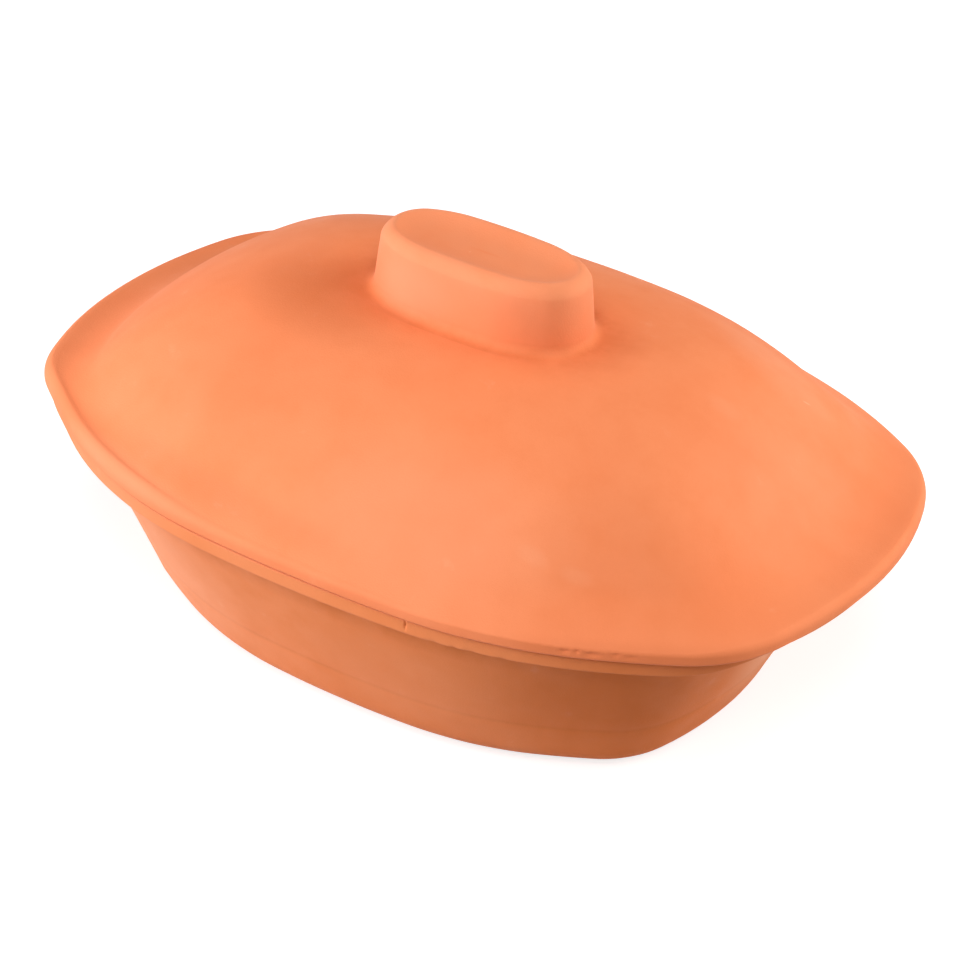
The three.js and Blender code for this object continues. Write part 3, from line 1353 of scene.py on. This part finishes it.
        # Painted shade round the foot of the grip and in its fillet.
        foot_painted_shade, fillet_painted_shade = self.foot_painted_shade
        side = self.grip_oval(self.grip_taper)
        foot = Layer(self.grip_oval(self.grip_taper + self.grip_flare), self.crown, painted_shade=foot_painted_shade)
        side_low = Layer(side, self.crown + self.grip_flare, side_wear)
        wide, high = self.grip_border
        crease = Layer(self.grip_oval(0.0), top - high, crease_wear)
        crest = Layer(self.grip_oval(-wide), top, crest_wear)
        shoulder = Layer(self.grip_oval(-wide / 2), top, border_wear)
        border = curve(crease, shoulder, crest, self.BORDER_STEPS)
        side_high = side_low.mixed(crease, 1.0 - self.grip_edge / (crease.z - side_low.z))
        slope, depth = self.grip_dish
        dish = [
            Layer(self.grip_oval(-wide - slope * t), top - depth * t * (2 - t), dish_wear)
            for t in steps(self.DISH_STEPS)[1:]
        ]
        return [
            *curve(foot, Layer(side, self.crown, painted_shade=fillet_painted_shade), side_low, self.FLARE_STEPS),
            *straight(side_low, side_high, self.SIDE_STEPS),
            *curve(side_high, crease, border[self.EDGE_END], self.EDGE_STEPS),
            *border[self.EDGE_END + 1 :],
            *dish,
            *cap(dish[-1], self.CAP_RINGS, self.GRIP_SMALLEST),
        ]

    def ridge_layers(self) -> list[Layer]:
        """Lay the locating ridge under the lid.

        Returns:
            The layers down its inner face, and up its outer one to the seat.
        """
        drop, width, clearance, rounding = self.ridge
        outer = self.pot.mouth.inset(clearance)
        inner = outer.inset(width)
        low = self.pot.seat - drop
        inner_round = (held(inner, low + rounding), held(inner, low), held(inner.inset(-rounding), low))
        outer_round = (held(outer.inset(rounding), low), held(outer, low), held(outer, low + rounding))
        return [
            *curve(*inner_round, self.ROUND_STEPS),
            *curve(*outer_round, self.ROUND_STEPS),
            held(outer, self.pot.seat),
        ]

    def hollow_layers(self) -> list[Layer]:
        """Lay the hollow of the lid.

        Returns:
            The layers from the middle of the ceiling under the grip down to the seat.
        """
        clay = self.pot.clay
        ceiling = self.crown + self.grip_rise - self.grip_dish[1] - clay
        high = Layer(self.grip_oval(-clay - self.hollow_round), ceiling)
        corner = Layer(self.grip_oval(-clay), ceiling)
        side = Layer(self.grip_oval(-clay), ceiling - self.hollow_round)
        throat = Layer(self.grip_oval(self.grip_taper - clay), self.crown - clay + self.grip_flare)
        dome = [self.dome_at(share, clay) for share in steps(self.HOLLOW_STEPS, 1.0, self.hollow_start)]
        ridge = self.ridge_layers()
        return [
            *cap(high, self.CAP_RINGS, self.HOLLOW_SMALLEST)[::-1],
            *curve(high, corner, side, self.ROUND_STEPS),
            *straight(side, throat, self.THROAT_STEPS),
            *curve(throat, throat.mixed(dome[0], self.throat_bend), dome[0], self.THROAT_STEPS),
            *dome[1:],
            *straight(dome[-1], ridge[0], self.THROAT_STEPS),
            *ridge,
        ]

    def brim_edge(self, high: float, over: tuple[float, float], turn: float) -> list[Layer]:
        """Lay the edge of the rim.

        Args:
            high: Height of the edge, in mm.
            over: Width and height of the round of the upper edge, in mm.
            turn: Angle through which that round turns, in radians.

        Returns:
            The layers of the edge.
        """
        rim = self.pot.oval(0.0, 0.0)
        return rim_edge(rim, self.pot.seat, high, self.pot.rim_round, over, self.rim_wear, turn)

    def brim_layers(self) -> list[Layer]:
        """Lay the outside from the seat to the dome.

        Returns:
            The layers, with bead and valley along the lugs and a plain round along the sides.
        """
        dome = self.dome_at(self.fillet)
        bead = self.brim_edge(self.rim, (self.bead, self.rim - self.face), self.bead_turn)
        lugs = [*bead, *curve(bead[-1], self.dome_at(0.0), dome, self.BRIM_STEPS)[1:]]
        lip_high = self.lip_face + self.lip_round
        lip = self.brim_edge(lip_high, (self.lip_round, self.lip_round), self.lip_turn)
        sides = [*lip, *straight(lip[-1], dome, self.BRIM_STEPS), dome]
        brim = [replace(lug, side=side) for lug, side in zip(lugs, sides)]
        brim[0] = replace(brim[0], still=1.0)
        return brim

    def layers(self) -> list[Layer]:
        """Stack the lid from its ceiling, down the hollow, round the rim and up to the top of the grip.

        Returns:
            All the layers.
        """
        brim = self.brim_layers()
        hollow = self.hollow_layers()
        dome = [self.dome_at(share) for share in steps(self.DOME_STEPS, self.fillet, 1.0)]
        # Painted shade on the last layers of the dome, round the foot of the grip.
        dome[-2:] = [replace(layer, painted_shade=painted_shade) for layer, painted_shade in zip(dome[-2:], self.crown_painted_shade)]
        grip = self.grip_layers()
        return [
            *hollow,
            *straight(hollow[-1], brim[0], self.SEAT_STEPS),
            *brim,
            *dome[1:],
            *straight(dome[-1], grip[0], self.CROWN_STEPS),
            *grip,
        ]

    def build(self) -> bpy.types.Object:
        """Build and dress the lid.

        Returns:
            The lid, riding on its body and standing for its CAD node.
        """
        loft = Loft(self.layers(), trims=self.trims(), dents=self.dents(), seed=self.seed)
        piece = loft.build("lid_of_fired_clay")
        piece.data.materials.append(self.finish.material())
        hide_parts(Piece.LID.value)
        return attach(piece, Body.LID.value)

    def trims(self) -> tuple[RimTrim, ...]:
        """List the uneven places of the rim of the lid.

        Returns:
            The bays and swells, near left corner first.
        """
        return (
            RimTrim(-131.0, 3.3, 26.0),
            RimTrim(-146.0, -1.5, 15.0),
            RimTrim(-11.6, 2.1, 51.0),
            RimTrim(61.4, -1.5, 33.0),
            RimTrim(170.8, 0.9, 65.0),
        )

    def dents(self) -> tuple[Dent, ...]:
        """List the dents in the near rim of the lid.

        Returns:
            The row of small chips.
        """
        middle = self.pot.seat + self.chip_height * self.lip_face
        return (
            Dent(-65.8, middle + 0.5, (1.9, 0.9), 0.7),
            Dent(-64.4, middle + 1.2, (1.1, 0.8), 0.6),
            Dent(-63.1, middle + 0.4, (2.2, 0.9), 0.8),
            Dent(-61.9, middle + 1.3, (1.3, 0.8), 0.6),
            Dent(-61.1, middle + 0.6, (1.6, 0.7), 0.5),
        )


def direction(azimuth: float, elevation: float) -> Vector:
    """Return the direction towards a place round the pot, from angles in degrees."""
    a, e = math.radians(azimuth), math.radians(elevation)
    return Vector((math.sin(a) * math.cos(e), -math.cos(a) * math.cos(e), math.sin(e)))


@dataclass(frozen=True)
class SoftBox:
    """Square soft lamp that shines at the pot.

    Attributes:
        name: Name of the lamp.
        azimuth: Side that it stands on, in degrees round the pot from the front.
        elevation: Height above the table, in degrees.
        watts: Power.
        colour: Colour of its light.
        distance: Distance from the pot, in metres.
        size: Side of its square, in metres.
    """

    name: str
    azimuth: float
    elevation: float
    watts: float
    colour: Colour
    distance: float = 1.6
    size: float = 0.9

    def build(self, aim: Vector) -> bpy.types.Object:
        """Make the lamp.

        Args:
            aim: Point that it shines at, in metres.

        Returns:
            The lamp.
        """
        data = bpy.data.lights.new(self.name, "AREA")
        data.shape = "SQUARE"
        data.size = self.size
        data.energy = self.watts
        data.color = self.colour
        lamp = bpy.data.objects.new(self.name, data)
        back = direction(self.azimuth, self.elevation)
        lamp.location = aim + back * self.distance
        lamp.rotation_euler = (-back).to_track_quat("-Z", "Y").to_euler()
        bpy.context.scene.collection.objects.link(lamp)
        return lamp


@dataclass(frozen=True)
class Studio:
    """Pale table, soft light and the camera.

    Attributes:
        aim: Point that the camera looks at, in metres.
        azimuth: Side from which the camera looks, in degrees.
        elevation: Height of the camera above the table, in degrees.
        roll: Tilt of the camera, in degrees.
        distance: Distance of the camera from that point, in metres.
        focal: Focal length, in pixels of the picture.
        centre: Pixel on the camera's axis.
        picture: Width and height of the picture, in pixels.
        ambient: Strength of the light from all round.
        table_half: Half of the side of the table, in metres.
        table_drop: Height of the pot above the table, in metres.
        table_bounce: Grey of the table as it lights the pot.
        table_seen: Grey of the table as it is looked at.
        table_roughness: Roughness of the table.
        table_near: Distances from the pot between which the table pales into the surroundings, in metres.
        table_glow: Brightness of the table itself near the pot and far off.
        lamps: Soft lamps.
    """

    aim: Point = (0.0, 0.0, 0.06)
    azimuth: float = 31.22
    elevation: float = 32.92
    roll: float = 3.16
    distance: float = 1.35964
    focal: float = 3200.0
    centre: tuple[float, float] = (473.17, 482.11)
    picture: tuple[int, int] = (970, 971)
    ambient: float = 0.04
    table_half: float = 6.0
    table_drop: float = 0.0004
    table_bounce: float = 0.6
    table_seen: float = 0.5
    table_roughness: float = 0.9
    table_near: tuple[float, float] = (0.6, 1.6)
    table_glow: tuple[float, float] = (0.78, 1.0)
    lamps: tuple[SoftBox, ...] = (
        SoftBox("left_softbox", 306.0, 9.0, 27.3, (0.97, 0.935, 1.0)),
        SoftBox("right_softbox", 135.0, 15.0, 18.7, (1.0, 0.93, 0.87)),
        SoftBox("front_softbox", 30.0, 55.0, 16.0, (1.0, 0.94, 0.89)),
        SoftBox("top_softbox", 60.0, 85.0, 3.5, (1.0, 0.94, 0.89)),
    )

    def camera(self) -> bpy.types.Object:
        """Make the camera at the viewing angle of the picture.

        Returns:
            The camera, which the scene looks through.
        """
        back = direction(self.azimuth, self.elevation)
        right = Vector((math.cos(math.radians(self.azimuth)), math.sin(math.radians(self.azimuth)), 0.0))
        up = back.cross(right)
        tilt = math.radians(self.roll)
        across = right * math.cos(tilt) + up * math.sin(tilt)
        upwards = up * math.cos(tilt) - right * math.sin(tilt)
        data = bpy.data.cameras.new("camera")
        longest = max(self.picture)
        data.lens = self.focal * data.sensor_width / longest
        data.shift_x = (self.picture[0] / 2 - self.centre[0]) / longest
        data.shift_y = (self.centre[1] - self.picture[1] / 2) / longest
        camera = bpy.data.objects.new("camera", data)
        camera.matrix_world = Matrix.Translation(Vector(self.aim) + back * self.distance) @ Matrix(
            (across, upwards, back)
        ).transposed().to_4x4()
        bpy.context.scene.collection.objects.link(camera)
        bpy.context.scene.camera = camera
        return camera

    def table(self) -> bpy.types.Object:
        """Make the pale table, which shows white and keeps the shadow of the pot.

        Returns:
            The table, as part of the stage.
        """
        half = self.table_half
        mesh = bpy.data.meshes.new("table")
        corners = [(-half, -half, 0.0), (half, -half, 0.0), (half, half, 0.0), (-half, half, 0.0)]
        mesh.from_pydata(corners, [], [(0, 1, 2, 3)])
        material = bpy.data.materials.new("white_table")
        material.use_nodes = True
        graph = NodeGraph(material)
        shader = material.node_tree.nodes["Principled BSDF"]
        seen = graph.seen()
        grey = graph.mix((self.table_bounce,) * 3, (self.table_seen,) * 3, seen)
        graph.join(grey, shader.inputs["Base Color"])
        shader.inputs["Roughness"].default_value = self.table_roughness
        shader.inputs["Specular IOR Level"].default_value = 0.0
        shader.inputs["Emission Color"].default_value = (*WHITE, 1.0)
        distance = graph.length(graph.add("ShaderNodeTexCoord").outputs["Object"])
        glow = graph.fade(distance, Fade(*self.table_near, *self.table_glow))
        graph.join(graph.multiply(seen, glow), shader.inputs["Emission Strength"])
        mesh.materials.append(material)
        table = bpy.data.objects.new("table", mesh)
        table.location.z = -self.table_drop
        bpy.context.scene.collection.objects.link(table)
        return table

    def world(self) -> bpy.types.World:
        """Make the surroundings: white to look at, and a plain even light on the pot.

        Returns:
            The surroundings, which the scene stands in.
        """
        world = bpy.data.worlds.new("surroundings")
        world.use_nodes = True
        graph = NodeGraph(world)
        back = world.node_tree.nodes["Background"]
        back.inputs["Color"].default_value = (*WHITE, 1.0)
        light = graph.fade(graph.seen(), Fade(0.0, 1.0, self.ambient, 1.0))
        graph.join(light, back.inputs["Strength"])
        bpy.context.scene.world = world
        return world

    def build(self) -> None:
        """Set up the whole studio."""
        bpy.context.scene.view_settings.view_transform = "Standard"
        self.world()
        self.table()
        for lamp in self.lamps:
            lamp.build(Vector(self.aim))
        self.camera()


def dish_finish() -> ClayFinish:
    """Describe the clay of the dish.

    Returns:
        The finish, with its marks.
    """
    return ClayFinish(
        "dish_clay",
        # Browner than the clay of the lid, with less blue, as painted shade of the dish.
        body=(0.88, 0.290, 0.110),
        flush=(0.79, 0.226, 0.062),
        pale=(0.93, 0.43, 0.25),
        deep=(0.50, 0.120, 0.022),
        marks=(
            # Painted light on the near left, a paler patch on the near wall, painted shade on the near right
            # corner and a painted sheen on the right end.
            Mark(Tone.PALE, (-98.0, -92.0, 40.0), (85.0, 75.0, 75.0), 0.42),
            Mark(Tone.PALE, (45.0, -110.0, 36.0), (70.0, 40.0, 40.0), 0.15),
            Mark(Tone.DEEP, (127.0, -82.0, 54.0), (80.0, 70.0, 54.0), 0.54),
            Mark(Tone.PALE, (153.0, -2.0, 48.0), (34.0, 38.0, 60.0), 0.75),
        ),
    )


def lid_finish() -> ClayFinish:
    """Describe the clay of the lid.

    Returns:
        The finish, with its marks.
    """
    return ClayFinish(
        "lid_clay",
        body=(0.93, 0.288, 0.117),
        flush=(0.88, 0.242, 0.088),
        pale=(0.96, 0.43, 0.25),
        deep=(0.62, 0.150, 0.045),
        marks=(
            # Painted light on the near middle and the right end of the dome, and a painted highlight along
            # the near left edge.
            Mark(Tone.PALE, (46.0, -109.0, 112.0), (75.0, 55.0, 40.0), 0.22),
            Mark(Tone.PALE, (144.0, 3.0, 116.0), (60.0, 60.0, 40.0), 0.1),
            Mark(Tone.PALE, (-95.0, -118.0, 90.0), (75.0, 13.0, 7.0), 0.2, -14.0),
            # Painted shade along the near edge, on the right of the dome, left of the grip and on the far
            # left brim.
            Mark(Tone.DEEP, (-45.0, -119.0, 99.0), (95.0, 16.0, 9.0), 0.2, -8.0),
            Mark(Tone.DEEP, (107.0, -81.0, 117.0), (36.0, 36.0, 34.0), 0.15),
            Mark(Tone.DEEP, (-56.0, -26.0, 143.0), (58.0, 44.0, 8.0), 0.42),
            Mark(Tone.DEEP, (-160.0, 42.0, 94.0), (70.0, 60.0, 12.0), 0.3),
            # Painted shade and painted light on the near side of the grip, and painted shade along the near
            # right edge.
            Mark(Tone.DEEP, (29.0, -22.0, 157.0), (20.0, 14.0, 18.0), 0.16),
            Mark(Tone.PALE, (-26.0, -24.0, 157.0), (34.0, 12.0, 16.0), 0.3),
            Mark(Tone.DEEP, (140.0, -99.0, 87.5), (75.0, 16.0, 6.0), 0.25, 30.0),
            # Two small rubs low on the dome.
            Mark(Tone.PALE, (88.0, -98.0, 112.0), (10.0, 4.5, 6.0), 0.16),
            Mark(Tone.PALE, (106.0, -94.2, 107.5), (10.0, 4.0, 6.0), 0.14, 12.0),
            # Scratch on the far right with a paler patch round it, and a painted sheen on the far right slope
            # of the dome.
            Mark(Tone.PALE, (126.9, 49.6, 123.0), (2.4, 0.7, 6.0), 0.8, 35.0),
            Mark(Tone.PALE, (128.0, 55.0, 119.5), (20.0, 9.0, 14.0), 0.12),
            Mark(Tone.PALE, (104.0, 62.0, 128.0), (55.0, 24.0, 22.0), 0.26, -25.0),
            # Painted shade on the near left of the dome, rub on its right and speck on the top of the grip.
            Mark(Tone.DEEP, (-78.0, -75.0, 129.0), (75.0, 45.0, 30.0), 0.1),
            Mark(Tone.PALE, (111.5, 6.2, 135.8), (12.0, 7.0, 8.0), 0.12, 5.0),
            Mark(Tone.PALE, (-5.4, -3.5, 171.6), (0.6, 0.6, 4.0), 0.8),
        ),
    )


def main() -> None:
    """Build the studio and both pieces."""
    logging.basicConfig(level=logging.INFO, format="%(name)s: %(message)s")
    Studio().build()
    pot = PotSizes()
    for piece in (RoastingDish(pot, dish_finish()).build(), DomedLid(pot, lid_finish()).build()):
        LOG.info("%s: %d faces", piece.name, len(piece.data.polygons))


if __name__ == "__main__":
    main()
